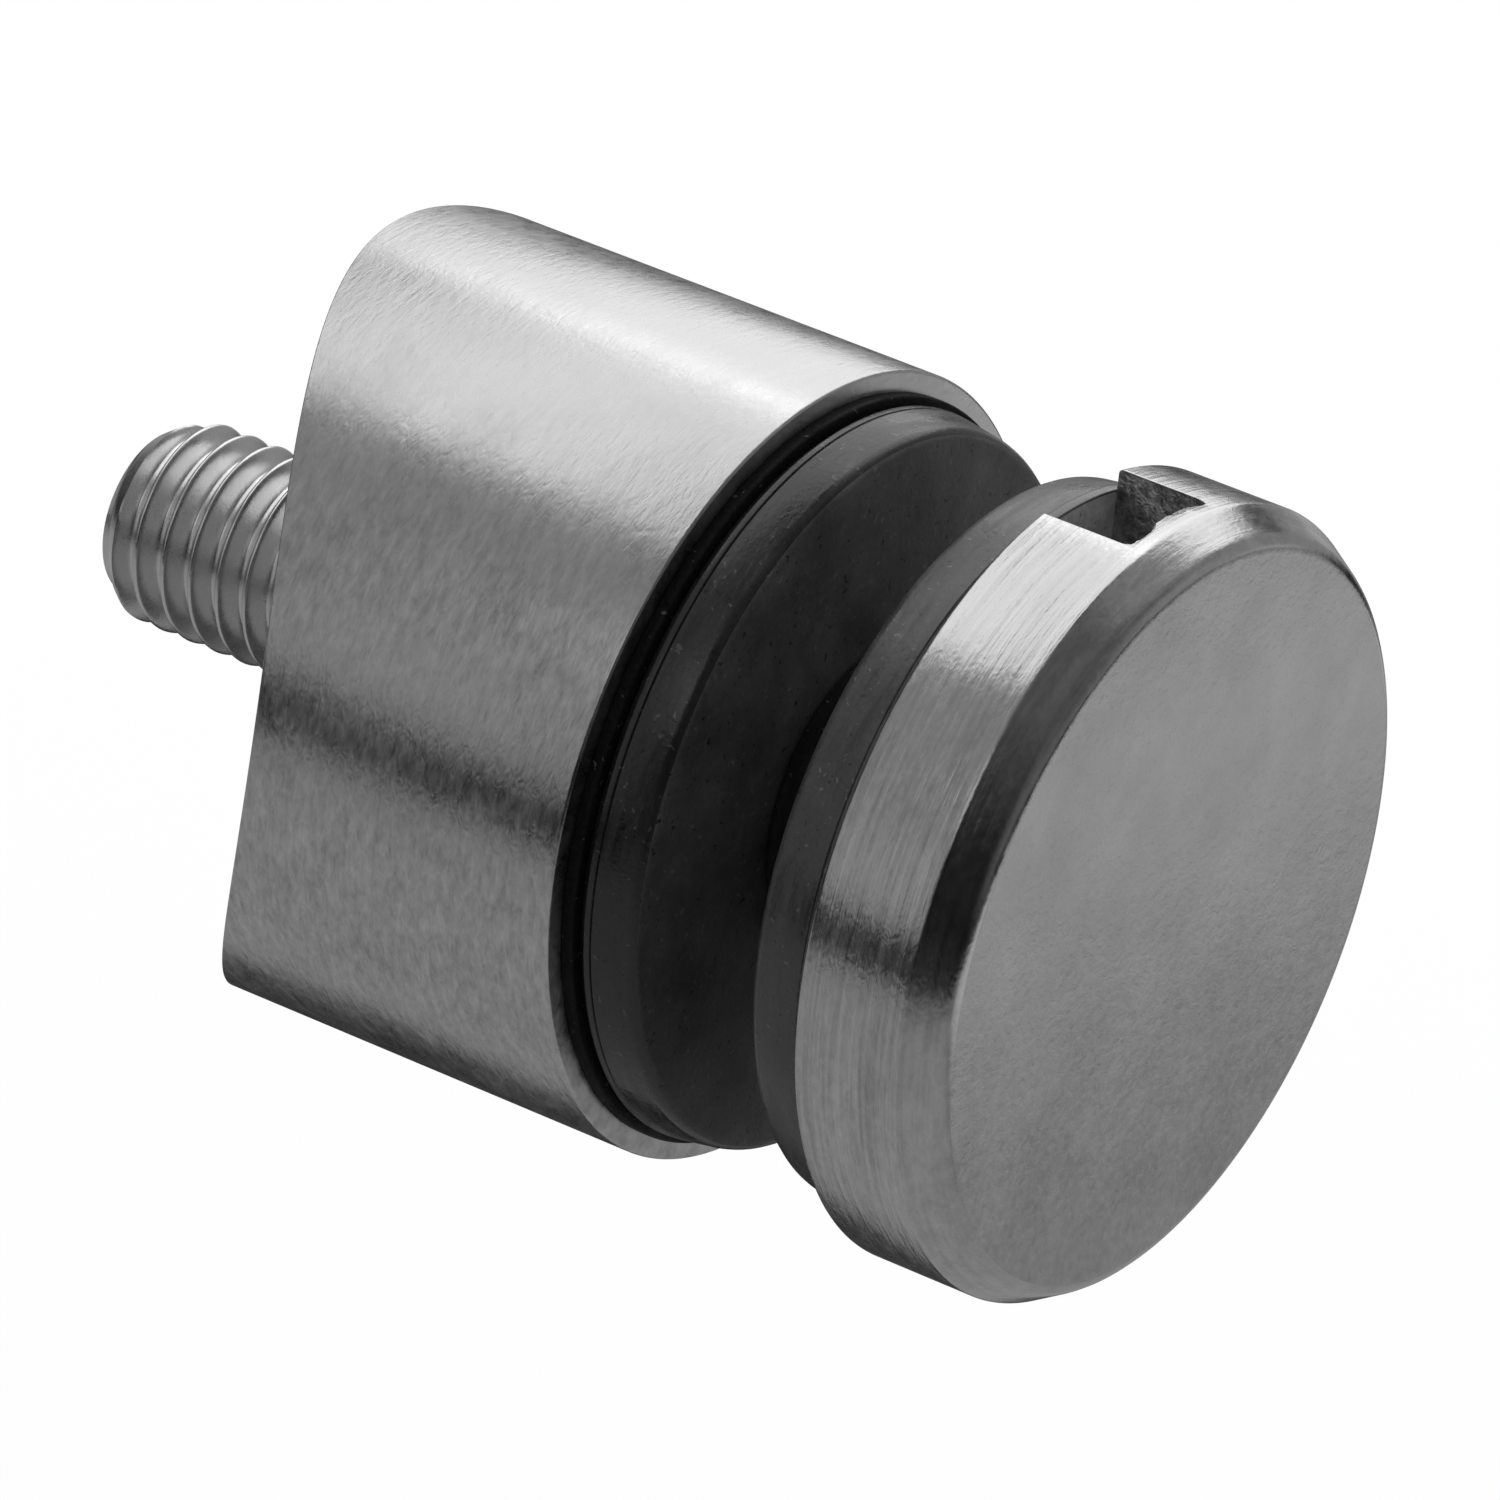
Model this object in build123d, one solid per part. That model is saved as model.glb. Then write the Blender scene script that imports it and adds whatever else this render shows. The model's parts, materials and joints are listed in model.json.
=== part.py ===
"""Glass point fixing: a round clamp that holds a glass pane off a tube.

The axis is Y. The saddle sits on the tube at Y = 0 and the tube runs along X. The stud points to +Y, into
the tube, and the pane, the gaskets and the cap follow towards -Y. The cap is as far screwed on as the
glass gap says. All sizes are in millimetres.
"""
import os
from math import cos, radians, sin, sqrt

from build123d import *

# Base body
body_diameter = 30.0
body_length = 13.3  # on the axis, from the tube's surface to the front face
tube_diameter = 42.4  # the tube that the saddle is cut for
edge_break = 0.15

# M8 thread. Where the mounting stud stands free its ridges are turned as rings, one to each turn of
# the real helix. Where a stud is engaged, it and its hole are plain walls at the flank radius, so that
# they don't fill the same space. The clamp stud's shank is rolled down to that radius too.
thread_radius = 3.95
thread_pitch = 1.25
thread_depth = 0.77
thread_crest = 0.16  # the flat on a ridge, along the axis
thread_root = 0.31  # the flat between two ridges
flank_radius = 3.6
thread_clearance = 0.05  # between the flanks
hole_countersink = 0.7

# Studs: grub screws with a hexagon socket at the rear end and a flat point at the front end
mounting_stud_reach = 15.5  # past the saddle's floor
mounting_stud_grip = 4.5  # in the base body
free_thread_start = 0.8  # past the saddle's floor, clear of its curve
stud_gap = 3.5  # between the two studs' ends in the base body
stud_bevel_depth = 0.75
stud_bevel_length = 1.1
point_bevel = 0.8
key_size = 4.0  # across the socket's flats
key_depth = 5.0

# Gaskets: two alike, each with a thin seating flange and a groove in front of it
gasket_thickness = 2.85
gasket_face_diameter = 27.3
gasket_root_diameter = 27.9
gasket_flange_diameter = 28.4
gasket_flange_thickness = 0.5
gasket_groove_width = 0.25
gasket_groove_depth = 0.3
gasket_edge_radius = 0.25
stud_clearance = 0.35  # round the stud, in the gaskets and in the sleeve

# Glass and the sleeve that keeps its hole off the stud
glass_gap = 4.85  # between the gaskets' faces
sleeve_wall = 1.6
sleeve_play = 0.35  # the gap is longer than the sleeve by this
sleeve_bevel = 0.3

# Cap
cap_diameter = 30.0
cap_rim_length = 4.35
cap_bevel_length = 1.5
cap_bevel_depth = 0.9
cap_thread_depth = 4.2
cap_edge_radius = 0.2
cap_face_edge_radius = 0.8

# Slot for a hook spanner, cut in the cap's rim from its rear face
slot_width = 5.0
slot_length = 3.8
slot_depth = 3.3
slot_corner_radius = 0.4
slot_angle = 5.1  # from straight up towards -X, as the cap's thread leaves it

# Places on the axis, counted along Y
front_of_body = -body_length
rear_gasket_face = front_of_body - gasket_thickness
front_gasket_face = rear_gasket_face - glass_gap
rear_of_cap = front_gasket_face - gasket_thickness
front_of_rim = rear_of_cap - cap_rim_length
front_of_cap = front_of_rim - cap_bevel_length
sleeve_end = front_gasket_face + sleeve_play
mounting_stud_front = -mounting_stud_grip
clamp_stud_front = rear_of_cap - cap_thread_depth
clamp_stud_rear = mounting_stud_front - stud_gap

hole_radius = flank_radius + thread_clearance
loose_hole_radius = thread_radius + stud_clearance
body_radius = body_diameter / 2
cap_radius = cap_diameter / 2
tube_radius = tube_diameter / 2
saddle_depth = tube_radius - sqrt(tube_radius**2 - body_radius**2)


def turned(*outline):
    """A solid of revolution about Y. The outline's points are (radius, place along Y)."""
    edge = Polyline(*outline, close=True)
    return revolve(make_face(edge), Axis.Y)


def circles(solid, radius, *places):
    """The solid's round edges of one radius at the given places along Y."""
    rings = solid.edges().filter_by(GeomType.CIRCLE)
    alike = [edge for edge in rings if abs(edge.radius - radius) < 0.01]
    return [edge for edge in alike if any(abs(edge.center().Y - place) < 0.01 for place in places)]


def hex_socket(mouth, depth):
    """The blind hexagon socket that is cut into a stud's rear end."""
    plane = Plane(origin=(0, mouth, 0), x_dir=(1, 0, 0), z_dir=(0, -1, 0))
    flats = RegularPolygon(radius=key_size / 2, side_count=6, major_radius=False)
    return extrude(plane * flats, depth)


def ridges(rear, front):
    """Outline points of the thread's ridges, from rear towards front, as many as find room."""
    root_radius = thread_radius - thread_depth
    flank = (thread_pitch - thread_crest - thread_root) / 2
    points = [(thread_radius, rear), (thread_radius, rear - thread_crest)]
    for turn in range(int((rear - thread_crest - front) / thread_pitch)):
        crest_end = rear - thread_crest - turn * thread_pitch
        next_crest = crest_end + thread_crest - thread_pitch
        points += [(root_radius, crest_end - flank), (root_radius, next_crest + flank)]
        points += [(thread_radius, next_crest), (thread_radius, next_crest - thread_crest)]
    return points


def stud(rear, front, *side):
    """A stud with a hexagon socket at its rear, a flat point in front and an outline between them."""
    outline = [(0, rear), *side]
    outline += [(flank_radius, front + point_bevel), (flank_radius - point_bevel, front), (0, front)]
    return turned(*outline) - hex_socket(rear, key_depth)


def mounting_stud():
    """The stud that goes into the tube, with its ridges on the length that stands free."""
    rear = mounting_stud_reach
    side = [(thread_radius - stud_bevel_depth, rear)]
    side += ridges(rear - stud_bevel_length, free_thread_start)
    last_ridge = side[-1][1]
    return stud(rear, mounting_stud_front, *side, (flank_radius, last_ridge))


def clamp_stud():
    """The stud that joins the cap to the base body."""
    rear = clamp_stud_rear
    side = [(flank_radius - stud_bevel_depth, rear), (flank_radius, rear - stud_bevel_length)]
    return stud(rear, clamp_stud_front, *side)


def base_body():
    """The turned body, cut by the tube at its rear, with a threaded hole right through."""
    rear = saddle_depth
    blank = turned(
        (0, rear),
        (body_radius, rear),
        (body_radius, front_of_body + edge_break),
        (body_radius - edge_break, front_of_body),
        (0, front_of_body),
    )
    tube = Location((0, tube_radius, 0)) * Cylinder(
        tube_radius, body_diameter + 2, rotation=(0, 90, 0)
    )
    mouth_radius = hole_radius + hole_countersink
    hole = turned(
        (0, rear),
        (mouth_radius, rear),
        (mouth_radius, 0),
        (hole_radius, -hole_countersink),
        (hole_radius, front_of_body + hole_countersink),
        (mouth_radius, front_of_body),
        (0, front_of_body),
    )
    return blank - tube - hole


def gasket(seat, face):
    """A rubber gasket with its flange on seat and its working face at face."""
    way = 1 if face > seat else -1
    root_radius = gasket_root_diameter / 2
    flange_radius = gasket_flange_diameter / 2
    groove_radius = root_radius - gasket_groove_depth
    flange_front = seat + way * gasket_flange_thickness
    groove_front = flange_front + way * gasket_groove_width
    ring = turned(
        (loose_hole_radius, seat),
        (flange_radius, seat),
        (flange_radius, flange_front),
        (groove_radius, flange_front),
        (groove_radius, groove_front),
        (root_radius, groove_front),
        (gasket_face_diameter / 2, face),
        (loose_hole_radius, face),
    )
    return fillet(circles(ring, gasket_face_diameter / 2, face), gasket_edge_radius)


def glass_sleeve():
    """The plastic sleeve on the stud, inside the pane's hole."""
    bore = loose_hole_radius
    outside = bore + sleeve_wall
    return turned(
        (bore, rear_gasket_face),
        (outside - sleeve_bevel, rear_gasket_face),
        (outside, rear_gasket_face - sleeve_bevel),
        (outside, sleeve_end + sleeve_bevel),
        (outside - sleeve_bevel, sleeve_end),
        (bore, sleeve_end),
    )


def cap():
    """The turned cap with a blind threaded hole and one slot in its rim."""
    mouth_radius = hole_radius + hole_countersink
    blank = turned(
        (0, clamp_stud_front),
        (hole_radius, clamp_stud_front),
        (hole_radius, rear_of_cap - hole_countersink),
        (mouth_radius, rear_of_cap),
        (cap_radius, rear_of_cap),
        (cap_radius, front_of_rim),
        (cap_radius - cap_bevel_depth, front_of_cap),
        (0, front_of_cap),
    )
    blank = fillet(circles(blank, cap_radius, rear_of_cap, front_of_rim), cap_edge_radius)
    face_edge = circles(blank, cap_radius - cap_bevel_depth, front_of_cap)
    blank = fillet(face_edge, cap_face_edge_radius)
    floor = cap_radius - slot_depth
    top = cap_radius + 1
    pocket = Box(slot_width, 2 * slot_length, top - floor)
    corners = pocket.edges().filter_by(Axis.Z)
    pocket = Location((0, rear_of_cap, (top + floor) / 2)) * fillet(corners, slot_corner_radius)
    return blank - Rot(0, -slot_angle, 0) * pocket


pieces = {
    "base_body": base_body(),
    "mounting_stud": mounting_stud(),
    "rear_gasket": gasket(front_of_body, rear_gasket_face),
    "glass_sleeve": glass_sleeve(),
    "front_gasket": gasket(rear_of_cap, front_gasket_face),
    "clamp_stud": clamp_stud(),
    "cap": cap(),
}

os.makedirs("parts", exist_ok=True)
for name, solid in pieces.items():
    export_step(solid, f"parts/{name}.step")
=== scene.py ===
"""The looks of the glass point fixing: detailed meshes, materials, studio light and camera.

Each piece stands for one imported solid. Sizes are in millimetres unless a comment says metres:
places count along Y and radii from the Y axis, as in part.py. MM turns them into Blender's metres.
"""
import json
import math

import bmesh
import bpy
from mathutils import Matrix, Quaternion, Vector, noise

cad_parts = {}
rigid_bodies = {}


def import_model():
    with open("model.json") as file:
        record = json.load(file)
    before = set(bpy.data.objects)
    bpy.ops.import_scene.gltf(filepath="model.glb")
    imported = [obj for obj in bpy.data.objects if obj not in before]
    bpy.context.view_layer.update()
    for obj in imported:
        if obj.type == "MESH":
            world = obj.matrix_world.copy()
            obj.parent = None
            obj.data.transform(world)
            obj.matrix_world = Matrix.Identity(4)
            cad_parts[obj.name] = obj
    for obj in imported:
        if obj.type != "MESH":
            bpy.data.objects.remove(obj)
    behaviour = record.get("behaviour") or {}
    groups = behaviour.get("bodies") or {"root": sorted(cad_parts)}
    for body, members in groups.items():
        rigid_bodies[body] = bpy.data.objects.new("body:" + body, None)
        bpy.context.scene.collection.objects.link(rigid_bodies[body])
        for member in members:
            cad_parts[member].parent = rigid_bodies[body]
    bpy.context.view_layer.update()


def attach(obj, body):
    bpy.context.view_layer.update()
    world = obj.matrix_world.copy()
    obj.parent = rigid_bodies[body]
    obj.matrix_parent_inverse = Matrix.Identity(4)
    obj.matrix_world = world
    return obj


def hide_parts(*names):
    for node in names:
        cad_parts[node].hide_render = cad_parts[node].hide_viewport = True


for thing in list(bpy.data.objects):
    bpy.data.objects.remove(thing)
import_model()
MM = 0.001

# Sizes of the solids, as in part.py
BODY_RADIUS = 15.0  # and the cap's
BODY_LENGTH = 13.3
TUBE_RADIUS = 21.2
THREAD_RADIUS = 3.95
PITCH = 1.25
FLANK_RADIUS = 3.6
THREAD_CLEARANCE = 0.05
COUNTERSINK = 0.7
STUD_REACH = 15.5
STUD_GRIP = 4.5
STUD_GAP = 3.5
STUD_BEVEL = 1.1
POINT_BEVEL = 0.8
SOCKET_HALF_WIDTH = 2.0
SOCKET_DEPTH = 5.0
STUD_CLEARANCE = 0.35
GASKET_THICKNESS = 2.85
GASKET_FACE_RADIUS = 13.65
GASKET_SIDE_RADIUS = 13.95
FLANGE_RADIUS = 14.2
FLANGE_THICKNESS = 0.5
GROOVE_DEPTH = 0.3
GLASS_GAP = 4.85
SLEEVE_WALL = 1.6
SLEEVE_PLAY = 0.35
CAP_RIM_LENGTH = 4.35
CAP_BEVEL_LENGTH = 1.5
CAP_BEVEL_DEPTH = 0.9
CAP_THREAD_DEPTH = 4.2
SLOT_WIDTH = 5.0
SLOT_LENGTH = 3.8
SLOT_DEPTH = 3.3
SLOT_CORNER = 0.4
SLOT_ANGLE = math.radians(5.1)  # from straight up towards -X

# Places and radii that follow from them
BODY_FRONT = -BODY_LENGTH
REAR_GASKET_FACE = BODY_FRONT - GASKET_THICKNESS
FRONT_GASKET_FACE = REAR_GASKET_FACE - GLASS_GAP
SLEEVE_END = FRONT_GASKET_FACE + SLEEVE_PLAY
REAR_OF_CAP = FRONT_GASKET_FACE - GASKET_THICKNESS
CAP_HOLE_END = REAR_OF_CAP - CAP_THREAD_DEPTH
FRONT_OF_RIM = REAR_OF_CAP - CAP_RIM_LENGTH
FRONT_OF_CAP = FRONT_OF_RIM - CAP_BEVEL_LENGTH
CLAMP_STUD_REAR = -STUD_GRIP - STUD_GAP
HOLE = FLANK_RADIUS + THREAD_CLEARANCE
HOLE_MOUTH = HOLE + COUNTERSINK
RING_BORE = THREAD_RADIUS + STUD_CLEARANCE  # of the gaskets and the sleeve
SLEEVE_RADIUS = RING_BORE + SLEEVE_WALL
GROOVE_RADIUS = GASKET_SIDE_RADIUS - GROOVE_DEPTH
CAP_FACE_RADIUS = BODY_RADIUS - CAP_BEVEL_DEPTH
SLOT_FLOOR = BODY_RADIUS - SLOT_DEPTH

# How finely the meshes are divided
ROUND_STEPS = 288
SLEEVE_STEPS = 144
THREAD_STEPS = 120
CORNER_STEPS = 5
SAME_POINT = 0.001  # points this near to each other or to the axis are one

# The slot's torn edge
EDGE_BREAK = 0.16  # at most: Blender narrows it beside small faces
TEAR_REACH = 0.275  # how far the edge can hang over the slot
TEAR_GRAIN = 0.45


# Meshes

def link(name, data):
    """A new object in the scene that holds a mesh, a lamp or a camera."""
    thing = bpy.data.objects.new(name, data)
    bpy.context.scene.collection.objects.link(thing)
    return thing


def to_object(bm, name):
    """A new object in the scene with the bmesh as its mesh."""
    mesh = bpy.data.meshes.new(name)
    bm.to_mesh(mesh)
    bm.free()
    return link(name, mesh)


def around(radius, angle, y):
    """The point at a radius and an angle round the Y axis, in metres. Angle 0 is straight up."""
    return (radius * math.sin(angle) * MM, y * MM, radius * math.cos(angle) * MM)


def rounded(corners):
    """Corner points (radius, y, rounding) as an outline whose corners are arcs."""
    outline = []
    for i, (r, y, rounding) in enumerate(corners):
        here = Vector((r, y))
        if rounding == 0:
            outline.append(here)
            continue
        before = (Vector(corners[i - 1][:2]) - here).normalized()
        after = (Vector(corners[(i + 1) % len(corners)][:2]) - here).normalized()
        half = before.angle(after) / 2
        run = rounding / math.tan(half)
        centre = here + (before + after).normalized() * rounding / math.sin(half)
        first, last = here + before * run - centre, here + after * run - centre
        turn = first.angle_signed(last)
        for k in range(CORNER_STEPS + 1):
            outline.append(centre + Matrix.Rotation(-turn * k / CORNER_STEPS, 2) @ first)
    return outline


def lathe(name, outline, closed=True, steps=ROUND_STEPS, bend=None):
    """A piece turned about Y from an outline of (radius, y). Points on the axis become one.

    bend(y, z) gives the new y of a point at height z.
    """
    bm = bmesh.new()
    rings = []
    for r, y in outline:
        if r < SAME_POINT:
            rings.append([bm.verts.new((0, y * MM, 0))] * steps)
            continue
        ring = []
        for k in range(steps):
            angle = 2 * math.pi * k / steps
            place = y if bend is None else bend(y, r * math.cos(angle))
            ring.append(bm.verts.new(around(r, angle, place)))
        rings.append(ring)
    pairs = list(zip(rings, rings[1:]))
    if closed:
        pairs.append((rings[-1], rings[0]))
    for a, b in pairs:
        for k in range(steps):
            n = (k + 1) % steps
            corners = list(dict.fromkeys((a[k], a[n], b[n], b[k])))
            if len(corners) > 2:
                bm.faces.new(corners)
    bmesh.ops.recalc_face_normals(bm, faces=bm.faces)
    return to_object(bm, name)


def smooth(piece, angle=35):
    """Shades the piece smooth, apart from edges sharper than the angle in degrees."""
    piece.data.shade_smooth()
    piece.data.set_sharp_from_angle(angle=math.radians(angle))


def dress(piece, node, body, slot, *materials):
    """The piece stands for a CAD node, rides on its body and wears these materials."""
    piece.data.materials.clear()
    for material in materials:
        piece.data.materials.append(material)
    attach(piece, body)
    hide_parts(node)


# Materials

class Nodes:
    """Short calls for a material's or the world's node tree."""

    def __init__(self, owner):
        owner.use_nodes = True
        self.tree = owner.node_tree
        self.tree.nodes.clear()

    def add(self, kind, inputs=(), **settings):
        """A new node. inputs are sockets to link or values, by a socket's name or number."""
        node = self.tree.nodes.new(kind)
        for key, value in settings.items():
            setattr(node, key, value)
        for key, value in dict(inputs).items():
            socket = node.inputs[key]
            if isinstance(value, bpy.types.NodeSocket):
                self.tree.links.new(value, socket)
            else:
                socket.default_value = value
        return node

    def math(self, operation, *values):
        return self.add("ShaderNodeMath", enumerate(values), operation=operation).outputs[0]

    def dot(self, vector, towards):
        inputs = {0: vector, 1: towards}
        node = self.add("ShaderNodeVectorMath", inputs, operation="DOT_PRODUCT")
        return node.outputs["Value"]

    def noise(self, scale, detail=4.0, roughness=0.55, distortion=0.0, by=(1, 1, 1)):
        """A noise of the object's own space, in features per metre. by stretches it to a grain
        that runs along the axes with small factors."""
        coordinates = self.add("ShaderNodeTexCoord").outputs["Object"]
        stretch = {"Vector": coordinates, "Scale": [scale * s for s in by]}
        values = {
            "Vector": self.add("ShaderNodeMapping", stretch).outputs[0],
            "Scale": 1.0,
            "Detail": detail,
            "Roughness": roughness,
            "Distortion": distortion,
        }
        return self.add("ShaderNodeTexNoise", values).outputs[0]

    def spread(self, value, low, high, to_low, to_high, kind="LINEAR"):
        """Maps low to high onto to_low to to_high, and holds the ends beyond them."""
        inputs = {
            "Value": value,
            "From Min": low,
            "From Max": high,
            "To Min": to_low,
            "To Max": to_high,
        }
        return self.add("ShaderNodeMapRange", inputs, interpolation_type=kind).outputs[0]

    def ramp(self, value, stops):
        """A smooth curve through (place, level) stops, with places between 0 and 1."""
        node = self.add("ShaderNodeValToRGB", {"Fac": value})
        node.color_ramp.interpolation = "EASE"
        elements = node.color_ramp.elements
        while len(elements) < len(stops):
            elements.new(1.0)
        for element, (place, level) in zip(elements, stops):
            element.position = place
            element.color = (level, level, level, 1)
        return node.outputs[0]

    def grey(self, value):
        inputs = {"Red": value, "Green": value, "Blue": value}
        return self.add("ShaderNodeCombineColor", inputs).outputs[0]

    def bump(self, height, strength, depth, normal=None):
        """A relief with its depth in millimetres, over another relief if one is given."""
        inputs = {"Height": height, "Strength": strength, "Distance": depth * MM}
        if normal is not None:
            inputs["Normal"] = normal
        return self.add("ShaderNodeBump", inputs).outputs[0]


def steel(name, tone, rough, streak=1.0, mottle=1.0, streak_by=(1, 1, 1), streak_scale=700,
          cloud_by=(1, 1, 1), anisotropy=0.0, wave=1.0, metallic=1.0, fade=1.0):
    """Satin stainless steel: a tone with blotches and clouds, and cutting marks along one way.

    tone and rough are the mean colour and roughness. streak and mottle say how strong the marks
    and the blotches are, wave how strong the relief is. fade is the share of marks and blotches
    that is left on top of the piece, where the finish is smoother.
    """
    material = bpy.data.materials.new(name)
    n = Nodes(material)
    place = n.add("ShaderNodeTexCoord").outputs["Object"]
    height = n.add("ShaderNodeSeparateXYZ", {0: place}).outputs["Z"]
    left = n.spread(height, 6 * MM, 13 * MM, 1.0, fade, "SMOOTHSTEP")
    blotch = n.noise(330, 4, 0.6, 0.6)
    cloud = n.noise(2400, 2, 0.8, 0.3, cloud_by)
    marks = n.noise(streak_scale, 2, 0.6, 0.0, streak_by)
    shade = n.math("ADD", n.spread(blotch, 0.3, 0.7, -0.08 * mottle, 0.08 * mottle),
                   n.spread(cloud, 0.25, 0.75, -0.2 * mottle, 0.2 * mottle))
    shade = n.math("ADD", shade, n.spread(marks, 0.3, 0.7, -0.06 * streak, 0.06 * streak))
    shade = n.math("MULTIPLY", shade, left)
    colour = n.grey(n.math("MULTIPLY", n.math("ADD", shade, 1.0), tone))
    wear = n.spread(n.math("ADD", blotch, cloud), 0.7, 1.3, rough * 0.8, rough * 1.2)
    relief = n.bump(cloud, wave, 0.04)
    relief = n.bump(marks, 0.4 * streak, 0.02, relief)
    values = {
        "Base Color": colour,
        "Metallic": metallic,
        "Roughness": wear,
        "Normal": relief,
        "Anisotropic": anisotropy,
        "Anisotropic Rotation": 0.25,
        "Tangent": n.add("ShaderNodeTangent", direction_type="RADIAL", axis="Y").outputs[0],
    }
    shader = n.add("ShaderNodeBsdfPrincipled", values)
    n.add("ShaderNodeOutputMaterial", {"Surface": shader.outputs[0]})
    return material


def rubber(name, tone, rough, gloss=0.3, coarse=1.0):
    """Black rubber with worn smears along its turning, dark pits and light specks."""
    material = bpy.data.materials.new(name)
    n = Nodes(material)
    blotch = n.noise(500, 4, 0.6)
    smears = n.noise(700, 4, 0.65, 0.3, (0.4, 2.5, 0.4))
    grain = n.noise(5200, 3, 0.65)
    dots = n.noise(3300, 1, 0.5, 0.5)
    specks = n.spread(dots, 0.70, 0.74, 0.0, 1.0)
    pits = n.spread(dots, 0.26, 0.30, 1.0, 0.0)
    grain_shade = n.spread(grain, 0.3, 0.7, 1 - 0.15 * coarse, 1 + 0.15 * coarse)
    shade = n.math("MULTIPLY", n.spread(blotch, 0.3, 0.7, 0.82, 1.18), tone)
    shade = n.math("MULTIPLY", shade, grain_shade)
    shade = n.math("ADD", shade, n.math("MULTIPLY", specks, 0.12))
    shade = n.math("MULTIPLY", shade, n.spread(pits, 0, 1, 1.0, 0.3))
    shade = n.math("MULTIPLY", shade, n.spread(smears, 0.35, 0.65, 0.75, 1.3))
    relief = n.bump(n.math("ADD", grain, smears), 0.35 * coarse, 0.02)
    relief = n.bump(dots, 0.3, 0.03, relief)
    values = {
        "Base Color": n.grey(shade),
        "Roughness": n.spread(smears, 0.35, 0.65, rough - 0.14, rough + 0.12),
        "Normal": relief,
        "IOR": 1.5,
        "Specular IOR Level": gloss,
    }
    shader = n.add("ShaderNodeBsdfPrincipled", values)
    n.add("ShaderNodeOutputMaterial", {"Surface": shader.outputs[0]})
    return material


TURNED = (0.25, 9.0, 0.25)  # marks that run round the axis
HOOPS = (0.5, 1.2, 0.5)  # clouds drawn out the same way
ALONG_SADDLE = (7.0, 0.3, 0.3)
MILLED = (1, 3, 1)
body_steel = steel("turned_steel", 0.5, 0.30, streak=0.8, mottle=1.3, streak_by=TURNED,
                   cloud_by=HOOPS, anisotropy=0.5, wave=0.45, fade=0.2)
saddle_steel = steel("saddle_steel", 0.5, 0.33, streak=2.0, mottle=0.7, streak_by=ALONG_SADDLE,
                     streak_scale=500, wave=0.4)
rim_steel = steel("rim_steel", 0.5, 0.25, streak=3.0, mottle=0.8, streak_by=TURNED,
                  streak_scale=520, cloud_by=HOOPS, anisotropy=0.5, wave=0.4, fade=0.4)
bevel_steel = steel("bevel_steel", 0.5, 0.22, streak=1.6, mottle=0.7, streak_by=TURNED,
                    streak_scale=500, cloud_by=HOOPS, anisotropy=0.4, wave=0.3)
face_steel = steel("ground_face_steel", 0.5, 0.33, streak=1.1, mottle=0.7, streak_scale=250,
                   wave=0.5)
slot_steel = steel("milled_steel", 0.46, 0.5, streak=1.5, mottle=2.4, streak_by=MILLED, wave=3.0)
# Painted highlight: a near-white, mostly matt tone makes the broken slot edges shine when lit; the
# torn edges themselves are real.
painted_highlight_burr_steel = steel("painted_highlight_burr_steel", 0.95, 0.6, mottle=1.5, wave=8.0, metallic=0.3)
thread_steel = steel("thread_steel", 0.66, 0.3, streak=0.4, mottle=0.3, wave=0.2)
gasket_rubber = rubber("gasket_rubber", 0.042, 0.27, gloss=0.5)
front_rubber = rubber("front_gasket_rubber", 0.085, 0.33, gloss=0.65)
# Painted light: the glass faces' rubber has over four times the sides' tone, standing in for the
# light that reaches the face between the gaskets.
painted_light_face_rubber = rubber("gasket_painted_light_face_rubber", 0.19, 0.45, gloss=0.25)
# Painted light: the seats' black rubber has a light grey tone, standing in for the light that
# falls on the front gasket's seat through the slot.
painted_light_seat_rubber = rubber("gasket_painted_light_seat_rubber", 0.75, 0.35, gloss=0.6)
# Painted shade: the flange's rubber is darker than the sides', standing in for the shade in the
# gap at the body's front; its coarse grain is the rubber's own.
painted_shade_flange_rubber = rubber("painted_shade_flange_rubber", 0.014, 0.65, gloss=0.15, coarse=3.0)
sleeve_plastic = rubber("sleeve_plastic", 0.03, 0.5)


# Base body

def to_tube(y, z):
    """Bends the rear face, drawn flat at y = 0, onto the tube."""
    rear = y > -0.5
    return y + TUBE_RADIUS - math.sqrt(TUBE_RADIUS ** 2 - z ** 2) if rear else y


base = lathe("base_body_turned", rounded([
    (HOLE_MOUTH, 0, 0),
    (8.0, 0, 0),  # these two only divide the saddle
    (11.5, 0, 0),
    (BODY_RADIUS, 0, 0.1),
    (BODY_RADIUS, BODY_FRONT, 0.12),
    (HOLE_MOUTH, BODY_FRONT, 0),
    (HOLE, BODY_FRONT + COUNTERSINK, 0),
    (HOLE, -COUNTERSINK, 0),
]), bend=to_tube)
smooth(base)
dress(base, "base_body", "base", "body_steel", body_steel, saddle_steel)
SADDLE = 1  # the place of saddle_steel among the base's materials
for face in base.data.polygons:
    if face.normal.y > 0.3 and face.center.y > -0.3 * MM:
        face.material_index = SADDLE


# Gaskets and sleeve

FLANGE, SEAT, GLASS_FACE = 1, 2, 3


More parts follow.
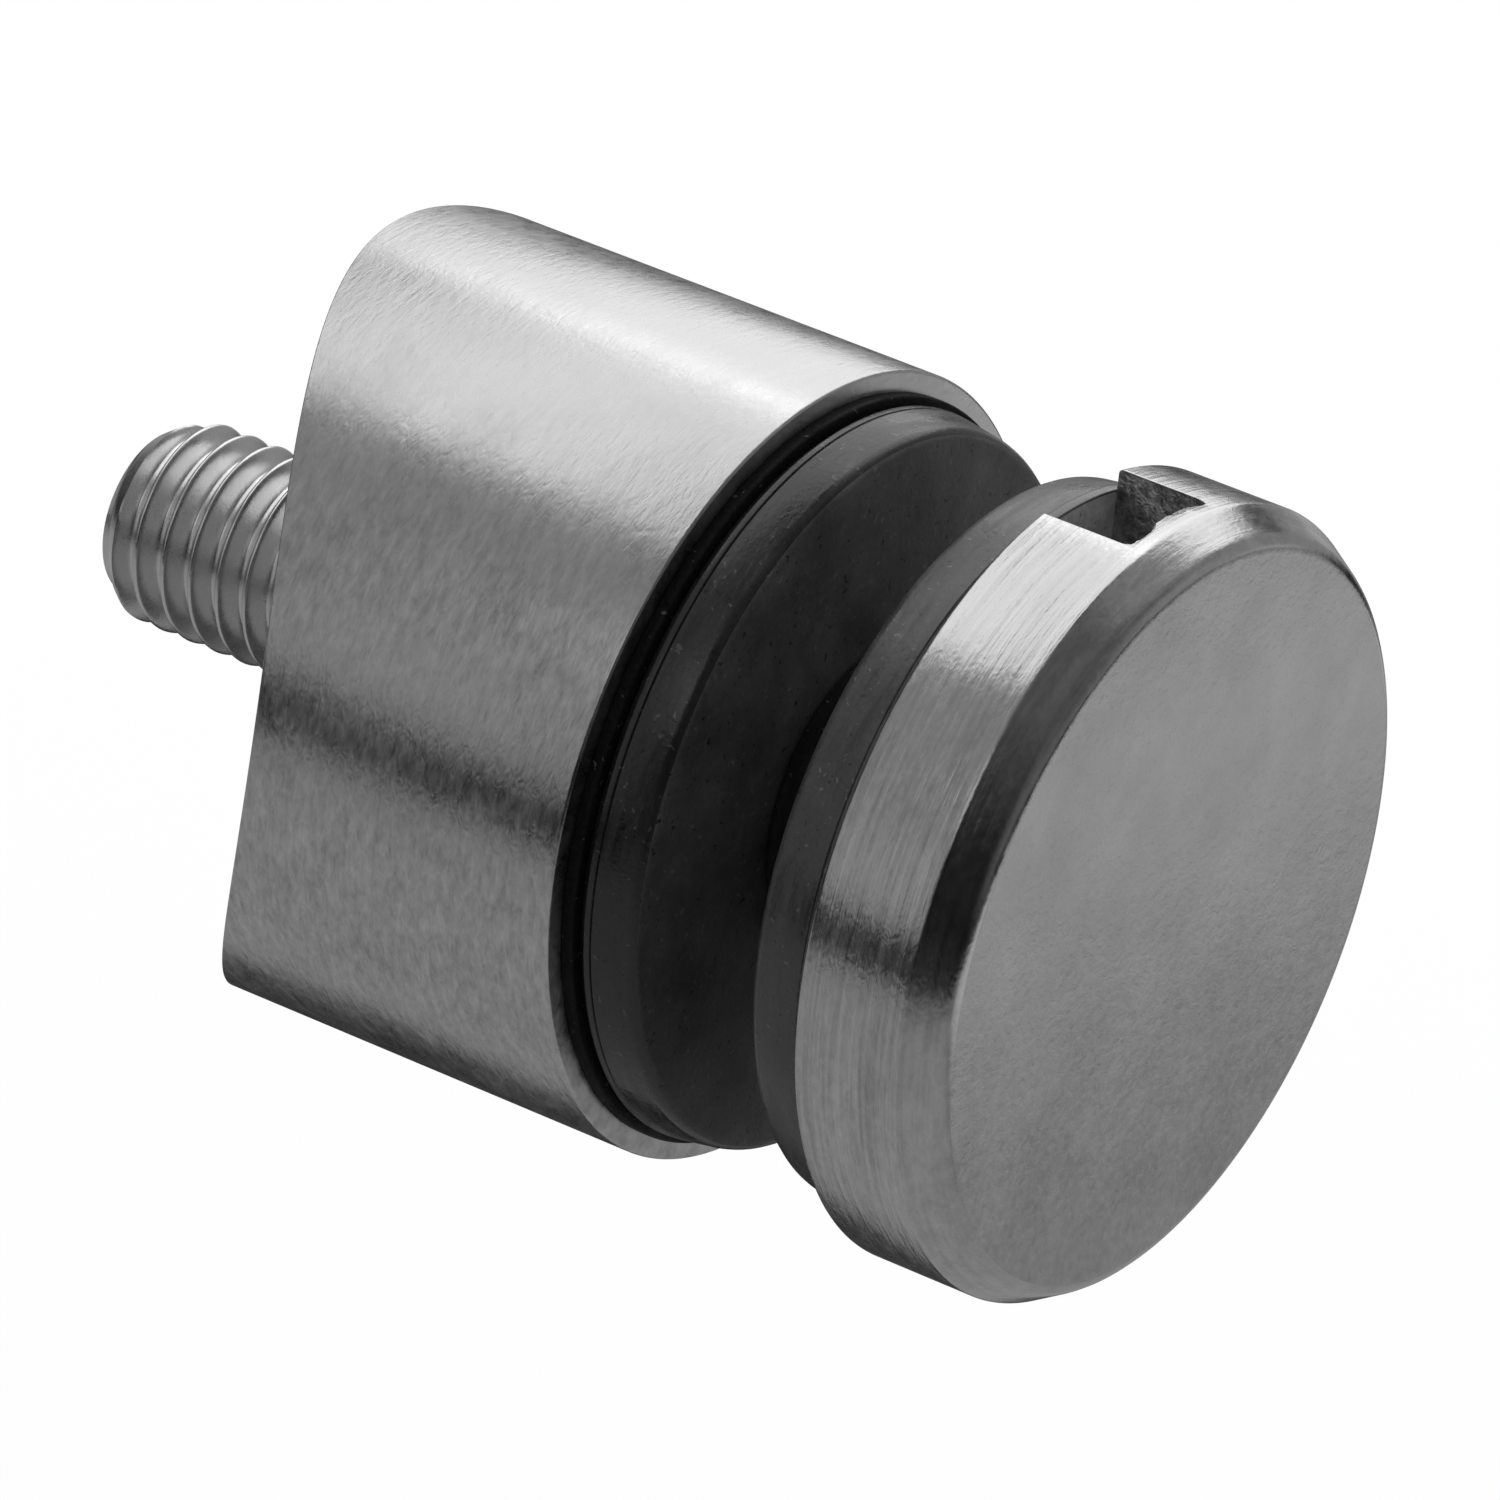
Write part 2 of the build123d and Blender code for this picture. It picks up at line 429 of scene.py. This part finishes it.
def gasket(name, node, body, seat, face, side, flange, groove, line):
    """A gasket from its seat to its face, with a flange, a groove and a moulding line.

    side and flange are materials. groove is the groove's width and line the depth of the moulding
    line, which 0 leaves out.
    """
    way = 1 if face > seat else -1
    lip = FLANGE_THICKNESS + groove
    moulding_line = [
        (GASKET_SIDE_RADIUS - 0.03, seat + way * (lip + 0.27), 0.02),
        (GASKET_SIDE_RADIUS - 0.03 - line, seat + way * (lip + 0.31), 0),
        (GASKET_SIDE_RADIUS - 0.04, seat + way * (lip + 0.36), 0.02),
    ]
    ring = lathe(name, rounded([
        (RING_BORE, seat, 0),
        (FLANGE_RADIUS, seat, 0.08),
        (FLANGE_RADIUS, seat + way * FLANGE_THICKNESS, 0.12),
        (GROOVE_RADIUS, seat + way * FLANGE_THICKNESS, 0),
        (GROOVE_RADIUS, seat + way * lip, 0),
        (GASKET_SIDE_RADIUS, seat + way * lip, 0.08),
        *(moulding_line if line else []),
        (GASKET_FACE_RADIUS, face, 0.5),
        (RING_BORE, face, 0.15),
    ]))
    smooth(ring, 50)
    dress(ring, node, body, "gasket_rubber", side, flange, painted_light_seat_rubber, painted_light_face_rubber)
    for polygon in ring.data.polygons:
        from_seat = (polygon.center.y / MM - seat) * way
        if from_seat < FLANGE_THICKNESS + 0.1:
            polygon.material_index = FLANGE
        # The seat's rubber is lightened with painted light.
        if abs(polygon.normal.y) > 0.99 and abs(from_seat) < 0.01:
            polygon.material_index = SEAT
        # The glass face's rubber is lightened with painted light.
        if polygon.normal.y * way > 0.8 and from_seat > abs(face - seat) - 0.3:
            polygon.material_index = GLASS_FACE


# The rear gasket's flange rubber is darkened with painted shade.
gasket("rear_gasket_ring", "rear_gasket", "base", BODY_FRONT, REAR_GASKET_FACE,
       gasket_rubber, painted_shade_flange_rubber, groove=0.25, line=0.08)
gasket("front_gasket_ring", "front_gasket", "front_seal", REAR_OF_CAP, FRONT_GASKET_FACE,
       front_rubber, front_rubber, groove=0.1, line=0)
sleeve = lathe("glass_sleeve_tube", rounded([
    (RING_BORE, REAR_GASKET_FACE, 0.1),
    (SLEEVE_RADIUS, REAR_GASKET_FACE, 0.3),
    (SLEEVE_RADIUS, SLEEVE_END, 0.3),
    (RING_BORE, SLEEVE_END, 0.1),
]), steps=SLEEVE_STEPS)
smooth(sleeve)
dress(sleeve, "glass_sleeve", "base", "sleeve_plastic", sleeve_plastic)


# Cap with its slot

RIM, SLOT, BURR, FACE, BEVEL = range(5)


def slot_cutter():
    """What the slot takes from the cap: a box with rounded corners that reaches past the rim."""
    top = BODY_RADIUS + 1
    size = Vector((SLOT_WIDTH, 2 * SLOT_LENGTH, top - SLOT_FLOOR))
    middle = Vector((0, 0, (top + SLOT_FLOOR) / 2))
    bm = bmesh.new()
    bmesh.ops.create_cube(bm, size=1.0)
    for v in bm.verts:
        v.co = (v.co * size + middle) * MM
    upright = [e for e in bm.edges if abs(e.verts[0].co.z - e.verts[1].co.z) > MM]
    bmesh.ops.bevel(bm, geom=upright, offset=SLOT_CORNER * MM, segments=4, affect="EDGES",
                    profile=0.5)
    turn = Matrix.Rotation(-SLOT_ANGLE, 4, "Y")
    place = turn @ Matrix.Translation((0, REAR_OF_CAP * MM, 0))
    bmesh.ops.transform(bm, matrix=place, verts=bm.verts)
    return to_object(bm, "slot_cutter")


def cut_slot(cap):
    """Cuts the slot and breaks the cap's sharp edges, each with a material of its own."""
    cutter = slot_cutter()
    for material in (rim_steel, slot_steel, painted_highlight_burr_steel):
        cutter.data.materials.append(material)
        cap.data.materials.append(material)
    for face in cutter.data.polygons:
        face.material_index = SLOT
    cut = cap.modifiers.new("slot", "BOOLEAN")
    cut.operation = "DIFFERENCE"
    cut.solver = "EXACT"
    cut.object = cutter
    cut.material_mode = "TRANSFER"
    edges = cap.modifiers.new("slot_edges", "BEVEL")
    edges.width = EDGE_BREAK * MM
    # The broken edges take the burr steel, whose near-white tone is a painted highlight.
    edges.material = BURR
    edges.segments = 2
    edges.limit_method = "ANGLE"
    edges.angle_limit = math.radians(50)
    bpy.context.view_layer.update()
    finished = cap.evaluated_get(bpy.context.evaluated_depsgraph_get())
    cap.data = bpy.data.meshes.new_from_object(finished)
    cap.modifiers.clear()
    bpy.data.objects.remove(cutter)


def tear_front_edge(cap):
    """Pushes the broken front edge of the slot unevenly over the slot."""
    burr = {i for f in cap.data.polygons if f.material_index == BURR for i in f.vertices}
    for i in burr:
        point = cap.data.vertices[i].co
        radius = math.hypot(point.x, point.z) / MM
        at_front = point.y / MM < REAR_OF_CAP - SLOT_LENGTH + 0.25
        if at_front and radius > BODY_RADIUS - 0.02:
            share = 0.3 + 1.7 * noise.noise(point / (TEAR_GRAIN * MM))
            point.y += TEAR_REACH * MM * min(max(share, 0), 1)


cap = lathe("cap_turned", rounded([
    (0, FRONT_OF_CAP, 0),
    (CAP_FACE_RADIUS, FRONT_OF_CAP, 0.8),
    (BODY_RADIUS, FRONT_OF_RIM, 0.25),
    (BODY_RADIUS, REAR_OF_CAP, 0.18),
    (HOLE_MOUTH, REAR_OF_CAP, 0),
    (HOLE, REAR_OF_CAP - COUNTERSINK, 0),
    (HOLE, CAP_HOLE_END, 0),
    (0, CAP_HOLE_END, 0),
]), closed=False)
cut_slot(cap)
smooth(cap, 40)
tear_front_edge(cap)
marked = [face.material_index for face in cap.data.polygons]  # dress() clears these
dress(cap, "cap", "cap_unit", "body_steel",
      rim_steel, slot_steel, painted_highlight_burr_steel, face_steel, bevel_steel)
for face, mark in zip(cap.data.polygons, marked):
    face.material_index = mark
    if mark == RIM and face.normal.y < -0.97 and face.center.y < (FRONT_OF_CAP + 0.2) * MM:
        face.material_index = FACE
    elif mark == RIM and face.normal.y < -0.3 and face.center.y < (FRONT_OF_RIM + 0.1) * MM:
        face.material_index = BEVEL


# Studs with their M8 threads

THREAD_DEPTH = 0.6134 * PITCH  # as on every metric thread
THREAD_ROOT = THREAD_RADIUS - THREAD_DEPTH


def thread_profile():
    """One pitch of the thread as (place along it, radius), from a root to the next one."""
    root_end = PITCH / 4
    crest = root_end + PITCH * 5 / 16
    crest_end = crest + PITCH / 8
    root_rounding = [(0, 0.025), (0.05, 0), (root_end - 0.05, 0), (root_end, 0.025)]
    crest_rounding = [(-0.05, 0.11), (-0.01, 0.045), (0.03, 0.012)]
    flank = (0.25, 0.5, 0.75)
    line = [(y, THREAD_ROOT + r) for y, r in root_rounding]
    line += [(root_end + (crest - root_end) * s, THREAD_ROOT + THREAD_DEPTH * s) for s in flank]
    line += [(crest + y, THREAD_RADIUS - drop) for y, drop in crest_rounding]
    line.append(((crest + crest_end) / 2, THREAD_RADIUS))
    line += [(crest_end - y, THREAD_RADIUS - drop) for y, drop in reversed(crest_rounding)]
    line += [(PITCH - (PITCH - crest_end) * s, THREAD_ROOT + THREAD_DEPTH * s)
             for s in reversed(flank)]
    return line


def limit(points, y):
    """The radius at y on the line through (y, radius) points."""
    for (y0, r0), (y1, r1) in zip(points, points[1:]):
        if y <= y1:
            return r0 + (r1 - r0) * (y - y0) / (y1 - y0)
    return points[-1][1]


def thread_skin(points):
    """The thread's skin, open at both ends. Its lines follow the right-hand helix."""
    profile = thread_profile()
    front, rear = points[0][0], points[-1][0]
    rows = (int((rear - front) / PITCH) + 3) * len(profile)
    bm = bmesh.new()
    columns = []
    for k in range(THREAD_STEPS + 1):
        angle = 2 * math.pi * k / THREAD_STEPS
        column = []
        for i in range(rows):
            turn, part = divmod(i, len(profile))
            place, radius = profile[part]
            y = front - PITCH + turn * PITCH + place + PITCH * k / THREAD_STEPS
            y = min(max(y, front), rear)
            column.append(bm.verts.new(around(min(radius, limit(points, y)), angle, y)))
        columns.append(column)
    for a, b in zip(columns, columns[1:]):
        for i in range(rows - 1):
            bm.faces.new((a[i], b[i], b[i + 1], a[i + 1]))
    bmesh.ops.remove_doubles(bm, verts=bm.verts, dist=SAME_POINT * MM)
    bmesh.ops.dissolve_degenerate(bm, edges=bm.edges, dist=SAME_POINT * MM)
    return bm


def angle_of(vertex):
    """The vertex's angle round the Y axis, from straight up and between 0 and a full turn."""
    return math.atan2(vertex.co.x, vertex.co.z) % (2 * math.pi)


def open_ring(bm, y):
    """The corners of the open rim nearest to y, in order of their angle."""
    rims = [e for e in bm.edges if e.is_boundary and abs(e.verts[0].co.y / MM - y) < PITCH]
    return sorted({v for e in rims for v in e.verts}, key=angle_of)


def hexagon(bm, corners, y):
    """A ring of points on the socket's hexagon, one at the angle of each corner."""
    ring = []
    for angle in map(angle_of, corners):
        from_flat = (angle + math.pi / 6) % (math.pi / 3) - math.pi / 6
        ring.append(bm.verts.new(around(SOCKET_HALF_WIDTH / math.cos(from_flat), angle, y)))
    return ring


def threaded(name, points):
    """A rod with an M8 thread, a flat point in front and a hexagon socket at its rear.

    points are (y, radius), from the front end to the rear, that the thread doesn't pass.
    """
    bm = thread_skin(points)
    front, rear = points[0][0], points[-1][0]
    point, outer = open_ring(bm, front), open_ring(bm, rear)
    mouth = hexagon(bm, outer, rear)
    socket_floor = hexagon(bm, outer, rear - SOCKET_DEPTH)
    for a, b in ((outer, mouth), (mouth, socket_floor)):
        for k in range(len(a)):
            n = (k + 1) % len(a)
            bm.faces.new((a[k], a[n], b[n], b[k]))
    bm.faces.new(socket_floor)
    bm.faces.new(point)
    bmesh.ops.recalc_face_normals(bm, faces=bm.faces)
    piece = to_object(bm, name)
    smooth(piece, 38)
    return piece


mounting = threaded("mounting_stud_thread", [
    (-STUD_GRIP, FLANK_RADIUS - POINT_BEVEL),
    (-STUD_GRIP + POINT_BEVEL, FLANK_RADIUS),
    (-0.45, FLANK_RADIUS),  # the thread grows in the hole's countersink
    (-0.1, THREAD_RADIUS),
    (STUD_REACH - STUD_BEVEL, THREAD_RADIUS),
    (STUD_REACH, THREAD_RADIUS - 0.79),
])
dress(mounting, "mounting_stud", "base", "stud_steel", thread_steel)
clamping = threaded("clamp_stud_thread", [
    (CAP_HOLE_END, FLANK_RADIUS - POINT_BEVEL),
    (CAP_HOLE_END + POINT_BEVEL, FLANK_RADIUS),
    (CLAMP_STUD_REAR - STUD_BEVEL, FLANK_RADIUS),
    (CLAMP_STUD_REAR, FLANK_RADIUS - 0.75),
])
dress(clamping, "clamp_stud", "cap_unit", "stud_steel", thread_steel)


# Studio: lamps, the surroundings that the steel mirrors, the floor and a black card, in metres

def direction(azimuth, elevation):
    """A unit vector. Azimuth 0 is -Y, where the cap points, and 90 is +X."""
    a, e = math.radians(azimuth), math.radians(elevation)
    return Vector((math.sin(a) * math.cos(e), -math.cos(a) * math.cos(e), math.sin(e)))


def softbox(name, azimuth, elevation, distance, width, height, level, roll=0.0):
    """A rectangular lamp that faces the object. level is how bright its face is, 1 is white."""
    lamp = bpy.data.lights.new(name, "AREA")
    lamp.shape = "RECTANGLE"
    lamp.size, lamp.size_y = width, height
    lamp.energy = level * math.pi * width * height
    holder = link(name, lamp)
    towards = direction(azimuth, elevation)
    holder.location = towards * distance + Vector((0, -0.01, 0))
    turn = towards.to_track_quat("Z", "Y") @ Quaternion((0, 0, 1), math.radians(roll))
    holder.rotation_euler = turn.to_euler()
    holder.visible_camera = False


softbox("key_softbox", azimuth=106, elevation=39.5, distance=0.5, width=0.52, height=0.34,
        level=1.25, roll=-38)
softbox("top_softbox", azimuth=162, elevation=61, distance=0.5, width=0.48, height=0.31,
        level=1.15)

studio = bpy.data.worlds.new("studio")
bpy.context.scene.world = studio
world = Nodes(studio)
look = world.add("ShaderNodeTexCoord").outputs["Generated"]


def lobe(azimuth, elevation, inner, outer):
    """1 within inner degrees of a direction, falling smoothly to 0 at outer degrees."""
    near, far = math.cos(math.radians(inner)), math.cos(math.radians(outer))
    dot = world.dot(look, direction(azimuth, elevation))
    return world.spread(dot, far, near, 0.0, 1.0, "SMOOTHSTEP")


# Dark and bright parts of the surroundings: azimuth, elevation, inner and outer radius in
# degrees, and the share of light that is left there, or the light that is added
DARK_PARTS = [
    (0, 60, 25, 60, 0.4),
    (93, 18, 2, 9, 0.15),
    (117, 0, 3, 10, 0.5),
    (5, -2, 10, 38, 0.5),
    (170, 2, 18, 42, 0.2),
]
BRIGHT_PARTS = [
    (138, -5, 5, 18, 0.3),
    (-88, 34, 6, 18, 0.8),
    (55, 57, 5, 25, 0.22),
    (62, -9, 5, 12, 0.35),
    (106, -12, 4, 13, 0.5),
    (-118, 6, 4, 18, 0.2),
    (-58, -11, 2, 9, 0.06),
]
fill = world.spread(lobe(-57, -2, 20, 60), 0, 1, 0.42, 0.02)
height = world.add("ShaderNodeSeparateXYZ", {0: look}).outputs["Z"]
above_horizon = world.spread(height, -0.13, -0.05, 0.02, 1.0, "SMOOTHSTEP")
fill = world.math("MULTIPLY", fill, above_horizon)
for *place, left in DARK_PARTS:
    fill = world.math("MULTIPLY", fill, world.spread(lobe(*place), 0, 1, 1.0, left))
for *place, level in BRIGHT_PARTS:
    fill = world.math("ADD", fill, world.math("MULTIPLY", lobe(*place), level))
fill = world.math("MULTIPLY", fill, 0.8)

# Camera and transmission rays see white, and all others the dark studio of the photograph
rays = world.add("ShaderNodeLightPath").outputs
white = world.math("MAXIMUM", rays["Is Camera Ray"], rays["Is Transmission Ray"])
background = {"Color": (1, 1, 1, 1), "Strength": world.spread(white, 0, 1, fill, 1.0)}
surface = world.add("ShaderNodeBackground", background).outputs[0]
world.add("ShaderNodeOutputWorld", {"Surface": surface})


def disc(name, centre, radius, segments, material, stretch=(1, 1)):
    """A flat round or oval stage piece at a centre."""
    bm = bmesh.new()
    bmesh.ops.create_circle(bm, cap_ends=True, segments=segments, radius=radius)
    bmesh.ops.scale(bm, vec=(*stretch, 1), verts=bm.verts)
    piece = to_object(bm, name)
    piece.location = centre
    piece.data.materials.append(material)
    return piece


def pale_paper():
    """White to the camera, with a faint shadow. Glossy rays see a grey sheen that changes ahead of
    the cap and fades far beyond and far before the fixing, as the camera looks at it."""
    material = bpy.data.materials.new("pale_paper")
    n = Nodes(material)
    spot = n.add("ShaderNodeTexCoord").outputs["Object"]
    ahead = n.spread(n.dot(spot, (0.5, -0.87, 0)), 0.0, 0.2, 0.0, 1.0)
    beyond = n.dot(spot, (0.883, 0.469, 0))
    before = n.dot(spot, (-0.848, -0.53, 0))
    sheen = n.ramp(ahead, ((0.25, 0.29), (0.42, 0.16), (0.66, 0.62)))
    sheen = n.math("MULTIPLY", sheen, n.spread(beyond, 0.15, 0.19, 1.0, 0.3, "SMOOTHSTEP"))
    sheen = n.math("MULTIPLY", sheen, n.spread(before, 0.16, 0.25, 1.0, 0.3))
    rays = n.add("ShaderNodeLightPath").outputs
    sheen = n.math("MULTIPLY", rays["Is Glossy Ray"], sheen)
    white = n.math("MAXIMUM", rays["Is Camera Ray"], rays["Is Transmission Ray"])
    lift = n.math("MAXIMUM", n.math("MULTIPLY", white, 0.9), sheen)
    matt = n.add("ShaderNodeBsdfDiffuse", {"Color": (0.16, 0.16, 0.16, 1)}).outputs[0]
    glow = n.add("ShaderNodeEmission", {"Strength": lift}).outputs[0]
    both = n.add("ShaderNodeAddShader", {0: matt, 1: glow}).outputs[0]
    n.add("ShaderNodeOutputMaterial", {"Surface": both})
    return material


def black():
    """The dull black of a card that the steel mirrors."""
    material = bpy.data.materials.new("black_card")
    n = Nodes(material)
    shader = n.add("ShaderNodeBsdfDiffuse", {"Color": (0.07, 0.07, 0.07, 1)}).outputs[0]
    n.add("ShaderNodeOutputMaterial", {"Surface": shader})
    return material


disc("floor", centre=(0.050, -0.012, -0.06), radius=0.25, segments=128, material=pale_paper())
card = disc("black_card", centre=(0.085, 0.055, -0.058), radius=0.5, segments=48,
            material=black(), stretch=(0.19, 0.09))
card.rotation_euler = (0, 0, math.radians(33))
card.visible_camera = card.visible_diffuse = card.visible_shadow = False

# Camera at the photograph's place: its right, up and back directions, and its place in metres
RIGHT = (0.558556, -0.816473, 0.146244)
UP = (0.238405, 0.326897, 0.914495)
BACK = (-0.794468, -0.475931, 0.377241)
CAMERA_PLACE = (-0.374679, -0.235878, 0.177918)
lens = bpy.data.cameras.new("camera")
lens.sensor_width = 36.0
lens.lens = 314.8
lens.clip_start, lens.clip_end = 0.05, 10.0
camera = link("camera", lens)
turn = Matrix((RIGHT, UP, BACK)).transposed().to_4x4()
camera.matrix_world = Matrix.Translation(CAMERA_PLACE) @ turn
bpy.context.scene.camera = camera
bpy.context.scene.view_settings.view_transform = "Standard"
